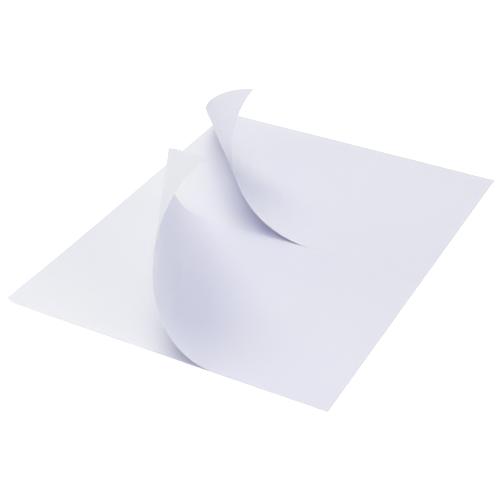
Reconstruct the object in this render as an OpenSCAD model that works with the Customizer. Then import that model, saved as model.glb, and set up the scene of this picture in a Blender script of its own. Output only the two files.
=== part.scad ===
// Sheet of two self-adhesive labels on one backing sheet, part way through being peeled.
// Both labels are half the sheet. Each has come off the backing from its near left corner, and curls up and over
// to the right, while its right side is still stuck down. The backing's own near left corner bends up a little.
// Sizes are millimetres and angles degrees. X runs along the short side, Y along the long side and Z up, and the
// origin is at the middle of the backing's underside.

/* [Sheet] */
// Short side of the sheet
sheet_width = 215.9; // [190:0.1:300]
// Long side of the sheet, which the two labels share
sheet_length = 279.4; // [240:0.1:400]
// Thickness of the backing paper
backing_thickness = 0.08; // [0.05:0.01:0.3]
// Thickness of a label with its adhesive
label_thickness = 0.1; // [0.05:0.01:0.3]
// Width of the cut that parts the two labels
cut_width = 0.1; // [0.05:0.01:1]

/* [Backing corner] */
// Length of near edge over which the backing bends up towards its near left corner
backing_bend = 140; // [40:1:150]
// Angle between the backing's bend lines and Y
backing_angle = 45; // [30:1:60]
// Radius of the backing's bend
backing_radius = 2500; // [1000:10:10000]

/* [Near label] */
// Length of near edge that has come off the backing
near_lifted = 145.2; // [90:0.1:160]
// Angle between the bend lines and Y where the near label leaves the backing
near_front_angle = 32.6; // [20:0.1:50]
// Angle between the bend lines and Y at the near label's lifted corner
near_tip_angle = 15.7; // [5:0.1:50]
// Radius of the near label's curl where it leaves the backing
near_radius_front = 25; // [20:0.1:60]
// Radius of the near label's curl half way along its lifted edge
near_radius_middle = 67.7; // [50:0.1:120]
// Radius of the near label's curl at its lifted corner
near_radius_tip = 53.6; // [40:0.1:120]

/* [Far label] */
// Length of its near edge that has come off the backing
far_lifted = 139.6; // [90:0.1:160]
// Angle between the bend lines and Y where the far label leaves the backing
far_front_angle = 41.4; // [20:0.1:50]
// Angle between the bend lines and Y at the far label's lifted corner
far_tip_angle = 39.7; // [5:0.1:50]
// Radius of the far label's curl where it leaves the backing
far_radius_front = 43.6; // [30:0.1:100]
// Radius of the far label's curl half way along its lifted edge
far_radius_middle = 37.8; // [30:0.1:100]
// Radius of the far label's curl at its lifted corner
far_radius_tip = 37; // [30:0.1:100]

/* [Smoothness] */
// Number of flat strips that make up a label's curl
label_strip_count = 72; // [24:1:120]
// Number of flat strips that make up the backing's bend
backing_strip_count = 10; // [4:1:24]

/* [Hidden] */

backing_colour = [0.94, 0.95, 0.96];
near_label_colour = [0.87, 0.88, 0.93];
far_label_colour = [0.90, 0.91, 0.94];

label_length = (sheet_length - cut_width) / 2;

// Movements in space, as matrices

function shift(v) = [[1, 0, 0, v.x], [0, 1, 0, v.y], [0, 0, 1, v.z], [0, 0, 0, 1]];

function turn_about_y(a) = [[cos(a), 0, sin(a), 0], [0, 1, 0, 0], [-sin(a), 0, cos(a), 0], [0, 0, 0, 1]];

function turn_about_z(a) = [[cos(a), -sin(a), 0, 0], [sin(a), cos(a), 0, 0], [0, 0, 1, 0], [0, 0, 0, 1]];

// Lifts what lies to the left of the line that crosses the sheet at a point, leaning left of Y
function fold(at, lean, angle) =
    shift(at) * turn_about_z(lean) * turn_about_y(angle) * turn_about_z(-lean) * shift(-at);

function moved(m, point) = [for (row = [0:2]) m[row] * [point.x, point.y, point.z, 1]];

function turned(m, direction) = [for (row = [0:2]) m[row] * [direction.x, direction.y, direction.z, 0]];

// The curl, by the share of the lifted edge from 0 at the front, where the sheet leaves what it is stuck to,
// to 1 at the lifted corner

// Lean of the bend line
function lean_at(leans, share) = leans[0] + (leans[1] - leans[0]) * share;

// Curvature, on a smooth course through its values at the front, half way and at the lifted corner
function curvature_at(radii, share) =
    (1 - share) * (1 - 2 * share) / radii[0]
    + 4 * share * (1 - share) / radii[1]
    + share * (2 * share - 1) / radii[2];

// Angle of the fold that stands for the bend of one strip
function fold_angle(lifted, leans, radii, strips, share) =
    lifted / strips * cos(lean_at(leans, share)) * curvature_at(radii, share) * 180 / PI;

// Whether a bend line that crosses the near edge at x runs out through the left edge, and not the far one
function leaves_left(x, lean, length) = length * tan(lean) > x;

// Where such a bend line runs out
function line_end(x, lean, length) =
    leaves_left(x, lean, length) ? [0, x / tan(lean), 0] : [x - length * tan(lean), length, 0];

// A rectangular sheet in the first quadrant, whose corner at the origin is lifted and curled over to the right.
// It is folded by small angles along successive bend lines, so it keeps its flat size.
// Line 0 is the right edge, lines 1 to strips are folds, and the lifted corner is the last one.
module curled_sheet(width, length, thickness, lifted, leans, radii, strips) {
    tip = strips + 1;
    shares = [for (i = [1:strips]) (i - 0.5) / strips];
    crossings = [width, for (s = shares) lifted * (1 - s), 0];
    line_leans = [0, for (s = shares) lean_at(leans, s), 0];
    angles = [0, for (s = shares) fold_angle(lifted, leans, radii, strips, s), 0];

    // Movement of what lies just to the right of each line
    moves = [
        for (i = 0, m = shift([0, 0, 0]); i <= tip;
             m = m * fold([crossings[i], 0, 0], line_leans[i], angles[i]), i = i + 1)
        m
    ];
    // The far left corner lies between the last line that reaches the far edge and the next
    corner_strip = len([for (i = [1:strips]) if (!leaves_left(crossings[i], line_leans[i], length)) i]);
    corner_move = moves[corner_strip + 1];

    near_points = [for (i = [0:tip]) moved(moves[i], [crossings[i], 0, 0])];
    far_points = [for (i = [0:strips]) moved(moves[i], line_end(crossings[i], line_leans[i], length))];
    corner_point = moved(corner_move, [0, length, 0]);

    // From the underside to the top face, square to the strips on both sides of a line
    rises = [
        for (i = [0:tip])
        turned(moves[i] * turn_about_z(line_leans[i]), [tan(angles[i] / 2), 0, 1]) * thickness
    ];
    corner_rise = turned(corner_move, [0, 0, thickness]);

    underside = concat(near_points, far_points, [corner_point]);
    top_face = concat(
        [for (i = [0:tip]) near_points[i] + rises[i]],
        [for (i = [0:strips]) far_points[i] + rises[i]],
        [corner_point + corner_rise]
    );
    corner = len(underside) - 1;
    function far(i) = i == tip ? tip : tip + 1 + i;

    // The triangles of each strip, seen from above
    skin = [
        for (i = [0:strips]) each concat(
            i < strips ? [[i, far(i + 1), i + 1]] : [],
            i == corner_strip
                ? [[i, corner, far(i + 1)], [i, far(i), corner]]
                : [[i, far(i), far(i + 1)]]
        )
    ];
    // The sheet's outline, from the right along the near edge and back along the left and far edges
    rim = concat(
        [for (i = [0:tip]) i],
        [for (i = [strips:-1:corner_strip + 1]) far(i)],
        [corner],
        [for (i = [corner_strip:-1:0]) far(i)]
    );
    above = len(underside);
    walls = [
        for (i = [0:len(rim) - 1])
        let (a = rim[i], b = rim[(i + 1) % len(rim)])
        each [[a, a + above, b + above], [a, b + above, b]]
    ];
    polyhedron(
        points = concat(underside, top_face),
        faces = concat(
            [for (t = skin) [t[2], t[1], t[0]]],
            [for (t = skin) [for (p = t) p + above]],
            walls
        )
    );
}

// The sub-parts

module backing() {
    color(backing_colour)
        translate([-sheet_width / 2, -sheet_length / 2, 0])
            curled_sheet(
                sheet_width, sheet_length, backing_thickness,
                backing_bend, [backing_angle, backing_angle],
                [backing_radius, backing_radius, backing_radius], backing_strip_count
            );
}

module near_label() {
    color(near_label_colour)
        translate([-sheet_width / 2, -sheet_length / 2, backing_thickness])
            curled_sheet(
                sheet_width, label_length, label_thickness,
                near_lifted, [near_front_angle, near_tip_angle],
                [near_radius_front, near_radius_middle, near_radius_tip], label_strip_count
            );
}

module far_label() {
    color(far_label_colour)
        translate([-sheet_width / 2, cut_width / 2, backing_thickness])
            curled_sheet(
                sheet_width, label_length, label_thickness,
                far_lifted, [far_front_angle, far_tip_angle],
                [far_radius_front, far_radius_middle, far_radius_tip], label_strip_count
            );
}

backing();
near_label();
far_label();
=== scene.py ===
"""One sheet of two blank half-sheet labels, part way through being peeled from its backing paper.

Both labels are lifted from their near left corners and curl up and over to the right. The bare backing shows on the
left. Lengths are metres, and X runs along the short side, Y along the long side and Z up."""

import math
from collections import namedtuple

import bpy
import bmesh
from mathutils import Matrix, Vector


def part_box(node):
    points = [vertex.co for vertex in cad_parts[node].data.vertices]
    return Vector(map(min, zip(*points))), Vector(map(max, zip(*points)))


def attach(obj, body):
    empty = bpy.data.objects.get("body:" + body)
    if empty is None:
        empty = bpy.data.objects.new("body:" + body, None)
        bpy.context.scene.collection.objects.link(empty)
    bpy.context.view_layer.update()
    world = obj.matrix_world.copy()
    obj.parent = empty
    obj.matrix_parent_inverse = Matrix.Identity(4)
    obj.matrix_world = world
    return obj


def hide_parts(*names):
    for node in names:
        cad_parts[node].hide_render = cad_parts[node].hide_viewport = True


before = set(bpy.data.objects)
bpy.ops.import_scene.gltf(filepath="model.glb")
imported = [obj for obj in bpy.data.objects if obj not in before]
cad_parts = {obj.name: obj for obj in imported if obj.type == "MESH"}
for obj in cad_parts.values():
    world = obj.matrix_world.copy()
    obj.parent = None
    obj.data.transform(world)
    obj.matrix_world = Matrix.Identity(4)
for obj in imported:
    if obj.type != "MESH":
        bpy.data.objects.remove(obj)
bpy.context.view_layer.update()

# Sizes of the sheet

BACKING_LOW, BACKING_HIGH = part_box("backing")
SHEET_WIDTH = BACKING_HIGH.x - BACKING_LOW.x
SHEET_LENGTH = BACKING_HIGH.y - BACKING_LOW.y
BACKING_THICKNESS = 0.00008
LABEL_THICKNESS = 0.0001
CUT_WIDTH = 0.0001
LABEL_LENGTH = (SHEET_LENGTH - CUT_WIDTH) / 2
# Gap below the labels, so that light passes cleanly from one sheet into the next
AIR = 0.000005

# How a sheet bends up from its near left corner. The lifted length is measured along the near edge. Each bend line
# leans left of Y, by an angle that goes from the front, where the sheet leaves what it is stuck to, to the tip. The
# radii are those of the curl at the front, half way and at the tip.

Curl = namedtuple("Curl", "lifted front_lean tip_lean front_radius middle_radius tip_radius folds")

BACKING_BEND = Curl(0.140, math.radians(45), math.radians(45), 2.5, 2.5, 2.5, 40)
NEAR_CURL = Curl(0.1452, math.radians(32.6), math.radians(15.7), 0.025, 0.0677, 0.0536, 180)
FAR_CURL = Curl(0.1396, math.radians(41.4), math.radians(39.7), 0.0436, 0.0378, 0.037, 180)

# Columns of faces in the part of a sheet that stays flat, and rows of faces along each bend line
FLAT_COLUMNS = 10
ROWS = 8

# Places of the materials in each sheet's mesh
FACE, UNDERSIDE, CUT_EDGE = range(3)

# The paper's pattern, in repeats for each metre of the flat sheet. The fibres lie along Y.
CLOUD_SCALE = 260
FIBRE_SCALE = (3800, 900, 3800)
TOOTH_HEIGHT = 0.00002
# Change of roughness where the pattern is paler
GLOSS_CHANGE = -4
# How far light travels inside the paper
LIGHT_DEPTH = 0.00004

# The floor lies just below the sheet. What the camera sees of it is lifted towards white, and by more at the second
# distance from the middle than at the first, which is beyond the sheet's shadow.
FLOOR_HEIGHT = -0.0002
FLOOR_HALF = 3
FLOOR_COLOUR = (0.8, 0.8, 0.8)
LIFT_DISTANCES = (0.3, 0.8)
LIFTS = (0.5, 1)

# Even light from all round
WORLD_COLOUR = (0.74, 0.755, 0.985)
WORLD_STRENGTH = 0.49
WHITE = (1, 1, 1, 1)

# Large soft lamps that face the sheet. Azimuth 0 is in front of the near edge and 90 on the right, in degrees.
Lamp = namedtuple("Lamp", "name azimuth elevation width height power colour")

LAMPS = (
    Lamp("key_lamp", 235, 62, 0.8, 0.8, 7.5, (1, 0.97, 0.68)),
    Lamp("right_lamp", 70, 14, 0.7, 0.5, 5.5, (1, 1, 0.71)),
    Lamp("left_lamp", 305, 14, 0.7, 0.5, 2.6, (0.92, 1, 0.985)),
    Lamp("front_lamp", 330, 38, 0.7, 0.6, 1.2, (1, 0.9, 0.4)),
    Lamp("top_lamp", 0, 70, 0.8, 0.8, 1.3, (0.72, 0.84, 0.985)),
)
LAMP_AIM = Vector((0, 0, 0.03))
LAMP_DISTANCE = 1.2

# Light goes back and forth between white sheets many times, and through them
LIGHT_BOUNCES = 12

# The photograph's camera
CAMERA_PLACE = Vector((0.31116, -0.618035, 0.45345))
CAMERA_AZIMUTH = math.radians(27.7223)
CAMERA_ELEVATION = math.radians(33.8702)
CAMERA_ROLL = math.radians(0.2721)
CAMERA_LENS = 90.51


def in_scene(name, data):
    thing = bpy.data.objects.new(name, data)
    bpy.context.scene.collection.objects.link(thing)
    return thing


# Curling a sheet

# A line across the flat sheet: where it crosses the near edge, its lean left of Y, and the angle that it folds by
Line = namedtuple("Line", "crossing lean angle")


def curvature(curl, share):
    """Curvature at a share of the lifted length from the front, on a smooth course through the three radii."""
    return (
        (1 - share) * (1 - 2 * share) / curl.front_radius
        + 4 * share * (1 - share) / curl.middle_radius
        + share * (2 * share - 1) / curl.tip_radius
    )


def sheet_lines(width, curl):
    """The lines from the right edge to the lifted corner. The first few lie in the flat part and don't fold."""
    lines = []
    for column in range(FLAT_COLUMNS):
        share = column / FLAT_COLUMNS
        lines.append(Line(width + (curl.lifted - width) * share, curl.front_lean * share, 0))
    for number in range(curl.folds):
        share = (number + 0.5) / curl.folds
        lean = curl.front_lean + (curl.tip_lean - curl.front_lean) * share
        strip = curl.lifted / curl.folds * math.cos(lean)
        lines.append(Line(curl.lifted * (1 - share), lean, strip * curvature(curl, share)))
    return lines


def line_end(line, length):
    """Where a line runs out: through the far edge, or through the left edge."""
    if length * math.tan(line.lean) > line.crossing:
        return Vector((0, line.crossing / math.tan(line.lean), 0))
    return Vector((line.crossing - length * math.tan(line.lean), length, 0))


def fold(line):
    """Movement of what lies to the left of a line, as the sheet folds along it."""
    at = Matrix.Translation((line.crossing, 0, 0))
    lean = Matrix.Rotation(line.lean, 4, "Z")
    return at @ lean @ Matrix.Rotation(line.angle, 4, "Y") @ lean.inverted() @ at.inverted()


def curled_sheet(name, width, length, thickness, curl, corner):
    """A rectangular sheet whose near left corner is lifted and curled over to the right. It keeps its flat size.

    corner is the place of its near left corner before it is lifted. The attribute flat_place holds each point's
    place on the flat sheet, so that the paper's pattern bends with it."""
    mesh_maker = bmesh.new()
    flat_place = mesh_maker.verts.layers.float_vector.new("flat_place")

    def skin_points(place, movement, rise):
        """The points of the underside and of the face at one place on the flat sheet."""
        pair = []
        for height in (0, thickness):
            point = mesh_maker.verts.new(corner + movement @ place + rise * height)
            point[flat_place] = corner + place + Vector((0, 0, height))
            pair.append(point)
        return pair

    def skin(points):
        """One facet of the face and the one below it. The points run anticlockwise, seen from above."""
        face = mesh_maker.faces.new([pair[1] for pair in points])
        underside = mesh_maker.faces.new([pair[0] for pair in reversed(points)])
        face.material_index, underside.material_index = FACE, UNDERSIDE
        face.smooth = underside.smooth = True

    def square_to(movement, slope=0):
        """The direction from the underside to the face, by a slope that mitres it between two strips."""
        return movement.to_3x3() @ Vector((slope, 0, 1))

    # Points on both sides of each line, and the movement of what lies to its left
    movement = Matrix.Identity(4)
    columns = []
    ends_left = []
    corner_movement = None
    for line in sheet_lines(width, curl):
        end = line_end(line, length)
        ends_left.append(end.x == 0)
        if ends_left[-1] and corner_movement is None:
            corner_movement = movement
        rise = square_to(movement @ Matrix.Rotation(line.lean, 4, "Z"), math.tan(line.angle / 2))
        start = Vector((line.crossing, 0, 0))
        columns.append([skin_points(start.lerp(end, row / ROWS), movement, rise) for row in range(ROWS + 1)])
        movement = movement @ fold(line)
    tip = skin_points(Vector(), movement, square_to(movement))
    far_left = skin_points(Vector((0, length, 0)), corner_movement, square_to(corner_movement))

    # The strips between the lines, with the far left corner in the strip where the lines begin to end on the left
    far_rim = []
    for number, column in enumerate(columns[:-1]):
        following = columns[number + 1]
        for row in range(ROWS):
            skin([column[row], column[row + 1], following[row + 1], following[row]])
        far_rim.append(column[ROWS])
        if ends_left[number + 1] and not ends_left[number]:
            skin([column[ROWS], far_left, following[ROWS]])
            far_rim.append(far_left)
    far_rim.append(columns[-1][ROWS])
    for row in range(ROWS):
        skin([columns[-1][row], columns[-1][row + 1], tip])

    # The cut edge, round the whole outline
    near_rim = [column[0] for column in columns]
    rim = columns[0] + far_rim[1:] + [tip] + near_rim[:0:-1]
    for number, pair in enumerate(rim):
        following = rim[(number + 1) % len(rim)]
        wall = mesh_maker.faces.new([pair[0], following[0], following[1], pair[1]])
        wall.material_index = CUT_EDGE
        for edge in wall.edges:
            edge.smooth = False

    mesh = bpy.data.meshes.new(name)
    mesh_maker.to_mesh(mesh)
    mesh_maker.free()
    return in_scene(name, mesh)


# Nodes

def nodes_of(owner):
    """The empty node tree of a material or a world."""
    owner.use_nodes = True
    owner.node_tree.nodes.clear()
    return owner.node_tree


def add(tree, kind, **settings):
    """A node with its settings. A name that isn't one of the node's own is one of its inputs."""
    node = tree.nodes.new(kind)
    for name, value in settings.items():
        if hasattr(node, name):
            setattr(node, name, value)
        else:
            node.inputs[name.replace("_", " ").title()].default_value = value
    return node


def paper_group():
    """Paper's own pattern: pale clouds where the pulp lies thicker, fine fibres and a slight tooth."""
    tree = bpy.data.node_groups.new("paper_grain", "ShaderNodeTree")
    face = tree.interface
    colour = face.new_socket("Colour", in_out="INPUT", socket_type="NodeSocketColor")
    colour.default_value = (0.8, 0.8, 0.8, 1)
    for name, value in (("Cloud", 0.01), ("Fibre", 0.01), ("Roughness", 0.8), ("Tooth", 0.2)):
        face.new_socket(name, in_out="INPUT", socket_type="NodeSocketFloat").default_value = value
    for name, kind in (("Colour", "Color"), ("Roughness", "Float"), ("Normal", "Vector")):
        face.new_socket(name, in_out="OUTPUT", socket_type="NodeSocket" + kind)

    asked = tree.nodes.new("NodeGroupInput")
    given = tree.nodes.new("NodeGroupOutput")
    link = tree.links.new
    place = add(tree, "ShaderNodeAttribute", attribute_name="flat_place")

    clouds = add(tree, "ShaderNodeTexNoise", scale=CLOUD_SCALE, detail=3, roughness=0.55)
    link(place.outputs["Vector"], clouds.inputs["Vector"])
    stretch = tree.nodes.new("ShaderNodeMapping")
    stretch.inputs["Scale"].default_value = FIBRE_SCALE
    link(place.outputs["Vector"], stretch.inputs["Vector"])
    fibres = add(tree, "ShaderNodeTexNoise", scale=1, detail=4, roughness=0.6, distortion=0.8)
    link(stretch.outputs["Vector"], fibres.inputs["Vector"])

    def centred(texture, amount):
        """A pattern turned into a change round nothing, of the size that an input asks for."""
        shift = add(tree, "ShaderNodeMath", operation="SUBTRACT")
        shift.inputs[1].default_value = 0.5
        link(texture.outputs["Fac"], shift.inputs[0])
        size = add(tree, "ShaderNodeMath", operation="MULTIPLY")
        link(shift.outputs[0], size.inputs[0])
        link(asked.outputs[amount], size.inputs[1])
        return size.outputs[0]

    both = add(tree, "ShaderNodeMath", operation="ADD")
    link(centred(clouds, "Cloud"), both.inputs[0])
    link(centred(fibres, "Fibre"), both.inputs[1])
    brightness = add(tree, "ShaderNodeMath", operation="ADD")
    brightness.inputs[1].default_value = 1
    link(both.outputs[0], brightness.inputs[0])
    tint = add(tree, "ShaderNodeVectorMath", operation="SCALE")
    link(asked.outputs["Colour"], tint.inputs[0])
    link(brightness.outputs[0], tint.inputs["Scale"])
    link(tint.outputs[0], given.inputs["Colour"])

    gloss = add(tree, "ShaderNodeMath", operation="MULTIPLY_ADD")
    gloss.inputs[1].default_value = GLOSS_CHANGE
    link(both.outputs[0], gloss.inputs[0])
    link(asked.outputs["Roughness"], gloss.inputs[2])
    link(gloss.outputs[0], given.inputs["Roughness"])

    tooth = add(tree, "ShaderNodeBump", distance=TOOTH_HEIGHT)
    link(asked.outputs["Tooth"], tooth.inputs["Strength"])
    link(fibres.outputs["Fac"], tooth.inputs["Height"])
    link(tooth.outputs["Normal"], given.inputs["Normal"])
    return tree


PAPER_GRAIN = paper_group()


def paper(name, colour, cloud, fibre, roughness, tooth, specular):
    """A paper's material. Its colour, roughness and normal carry the paper's grain."""
    material = bpy.data.materials.new(name)
    tree = nodes_of(material)
    grain = tree.nodes.new("ShaderNodeGroup")
    grain.node_tree = PAPER_GRAIN
    for socket, value in (
        ("Colour", (*colour, 1)), ("Cloud", cloud), ("Fibre", fibre), ("Roughness", roughness), ("Tooth", tooth)
    ):
        grain.inputs[socket].default_value = value
    surface = tree.nodes.new("ShaderNodeBsdfPrincipled")
    surface.inputs["Specular IOR Level"].default_value = specular
    # Some of the light that falls on one side of the thin sheet comes out on the other
    surface.inputs["Subsurface Weight"].default_value = 1
    surface.inputs["Subsurface Radius"].default_value = (1, 1, 1)
    surface.inputs["Subsurface Scale"].default_value = LIGHT_DEPTH
    tree.links.new(grain.outputs["Colour"], surface.inputs["Base Color"])
    tree.links.new(grain.outputs["Roughness"], surface.inputs["Roughness"])
    tree.links.new(grain.outputs["Normal"], surface.inputs["Normal"])
    out = tree.nodes.new("ShaderNodeOutputMaterial")
    tree.links.new(surface.outputs["BSDF"], out.inputs["Surface"])
    return material


# Materials

def printable_paper(name, colour):
    """Uncoated paper with fine fibres, quite matt."""
    return paper(name, colour, cloud=0.012, fibre=0.02, roughness=0.85, tooth=0.25, specular=0.25)


def coated_paper(name, colour):
    """Paper under a coat of adhesive or release agent, smooth with a faint sheen."""
    return paper(name, colour, cloud=0.02, fibre=0.012, roughness=0.5, tooth=0.1, specular=0.5)


LABEL_FACE = printable_paper("label_face", (0.79, 0.79, 0.93))
# Both labels carry one adhesive. Its two colours differ only by painted shade: darker on the near label and bluer
# on the far one, following how light falls on each flap's back.
NEAR_ADHESIVE_PAINTED_SHADE = coated_paper("near_label_adhesive_painted_shade", (0.685, 0.685, 0.76))
FAR_ADHESIVE_PAINTED_SHADE = coated_paper("far_label_adhesive_painted_shade", (0.72, 0.722, 0.812))
BACKING_RELEASE = coated_paper("backing_release", (0.79, 0.793, 0.878))
BACKING_BACK = paper(
    "backing_back", (0.80, 0.80, 0.84), cloud=0.02, fibre=0.02, roughness=0.8, tooth=0.25, specular=0.3
)
# The cut edge is paler than the paper's faces: painted light that lifts the shade on the thin edge walls.
PAPER_EDGE_PAINTED_LIGHT = paper("paper_edge_painted_light", (0.86, 0.86, 0.92), cloud=0.04, fibre=0.08, roughness=0.9, tooth=0.5, specular=0.2)


def dress(piece, node, face, underside):
    for material in (face, underside, PAPER_EDGE_PAINTED_LIGHT):
        piece.data.materials.append(material)
    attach(piece, "root")
    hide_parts(node)


# The three sheets

near_left = Vector((BACKING_LOW.x, BACKING_LOW.y, 0))

backing = curled_sheet("backing_sheet", SHEET_WIDTH, SHEET_LENGTH, BACKING_THICKNESS, BACKING_BEND, near_left)
dress(backing, "backing", BACKING_RELEASE, BACKING_BACK)

near_label = curled_sheet(
    "near_label_sheet", SHEET_WIDTH, LABEL_LENGTH, LABEL_THICKNESS - AIR, NEAR_CURL,
    near_left + Vector((0, 0, BACKING_THICKNESS + AIR)),
)
dress(near_label, "near_label", LABEL_FACE, NEAR_ADHESIVE_PAINTED_SHADE)

far_label = curled_sheet(
    "far_label_sheet", SHEET_WIDTH, LABEL_LENGTH, LABEL_THICKNESS - AIR, FAR_CURL,
    near_left + Vector((0, LABEL_LENGTH + CUT_WIDTH, BACKING_THICKNESS + AIR)),
)
dress(far_label, "far_label", LABEL_FACE, FAR_ADHESIVE_PAINTED_SHADE)


# Floor, light and camera

def seen_directly(tree):
    """1 for what the camera sees itself or in a gloss, and 0 where a surface only gives light to another."""
    path = tree.nodes.new("ShaderNodeLightPath")
    seen = path.outputs["Is Camera Ray"]
    for ray in ("Is Glossy Ray", "Is Transmission Ray"):
        either = add(tree, "ShaderNodeMath", operation="MAXIMUM")
        tree.links.new(seen, either.inputs[0])
        tree.links.new(path.outputs[ray], either.inputs[1])
        seen = either.outputs[0]
    return seen


def floor_paint():
    """A pale floor's material. What the camera sees of it is lifted to white, apart from the sheet's shadow."""
    material = bpy.data.materials.new("pale_floor")
    tree = nodes_of(material)
    surface = tree.nodes.new("ShaderNodeBsdfDiffuse")
    surface.inputs["Color"].default_value = (*FLOOR_COLOUR, 1)
    place = tree.nodes.new("ShaderNodeNewGeometry")
    distance = add(tree, "ShaderNodeVectorMath", operation="LENGTH")
    tree.links.new(place.outputs["Position"], distance.inputs[0])
    amount = add(
        tree, "ShaderNodeMapRange",
        from_min=LIFT_DISTANCES[0], from_max=LIFT_DISTANCES[1], to_min=LIFTS[0], to_max=LIFTS[1],
    )
    tree.links.new(distance.outputs["Value"], amount.inputs["Value"])
    share = add(tree, "ShaderNodeMath", operation="MULTIPLY")
    tree.links.new(seen_directly(tree), share.inputs[0])
    tree.links.new(amount.outputs[0], share.inputs[1])
    lift = tree.nodes.new("ShaderNodeEmission")
    lift.inputs["Color"].default_value = WHITE
    tree.links.new(share.outputs[0], lift.inputs["Strength"])
    both = tree.nodes.new("ShaderNodeAddShader")
    tree.links.new(surface.outputs[0], both.inputs[0])
    tree.links.new(lift.outputs[0], both.inputs[1])
    out = tree.nodes.new("ShaderNodeOutputMaterial")
    tree.links.new(both.outputs[0], out.inputs["Surface"])
    return material


def pale_floor():
    mesh = bpy.data.meshes.new("floor")
    corners = [(x * FLOOR_HALF, y * FLOOR_HALF, FLOOR_HEIGHT) for x, y in ((-1, -1), (1, -1), (1, 1), (-1, 1))]
    mesh.from_pydata(corners, [], [(0, 1, 2, 3)])
    mesh.materials.append(floor_paint())
    in_scene("floor", mesh)


def soft_world():
    """Even light from all round, which looks white where the camera sees it."""
    world = bpy.data.worlds.new("soft_light")
    bpy.context.scene.world = world
    tree = nodes_of(world)
    light = tree.nodes.new("ShaderNodeBackground")
    light.inputs["Color"].default_value = (*WORLD_COLOUR, 1)
    light.inputs["Strength"].default_value = WORLD_STRENGTH
    white = tree.nodes.new("ShaderNodeBackground")
    white.inputs["Color"].default_value = WHITE
    mix = tree.nodes.new("ShaderNodeMixShader")
    tree.links.new(seen_directly(tree), mix.inputs[0])
    tree.links.new(light.outputs[0], mix.inputs[1])
    tree.links.new(white.outputs[0], mix.inputs[2])
    out = tree.nodes.new("ShaderNodeOutputWorld")
    tree.links.new(mix.outputs[0], out.inputs["Surface"])


def soft_lamp(lamp):
    turn, rise = math.radians(lamp.azimuth), math.radians(lamp.elevation)
    towards = Vector((math.sin(turn) * math.cos(rise), -math.cos(turn) * math.cos(rise), math.sin(rise)))
    light = bpy.data.lights.new(lamp.name, "AREA")
    light.shape = "RECTANGLE"
    light.size, light.size_y = lamp.width, lamp.height
    light.energy = lamp.power
    light.color = lamp.colour
    thing = in_scene(lamp.name, light)
    thing.location = LAMP_AIM + towards * LAMP_DISTANCE
    thing.rotation_mode = "QUATERNION"
    thing.rotation_quaternion = (-towards).to_track_quat("-Z", "Y")


def camera():
    view = in_scene("camera", bpy.data.cameras.new("camera"))
    view.data.lens = CAMERA_LENS
    view.matrix_world = (
        Matrix.Translation(CAMERA_PLACE)
        @ Matrix.Rotation(CAMERA_AZIMUTH, 4, "Z")
        @ Matrix.Rotation(math.pi / 2 - CAMERA_ELEVATION, 4, "X")
        @ Matrix.Rotation(CAMERA_ROLL, 4, "Z")
    )
    bpy.context.scene.camera = view


pale_floor()
soft_world()
for lamp in LAMPS:
    soft_lamp(lamp)
camera()
bpy.context.scene.view_settings.view_transform = "Standard"
bpy.context.scene.cycles.diffuse_bounces = LIGHT_BOUNCES
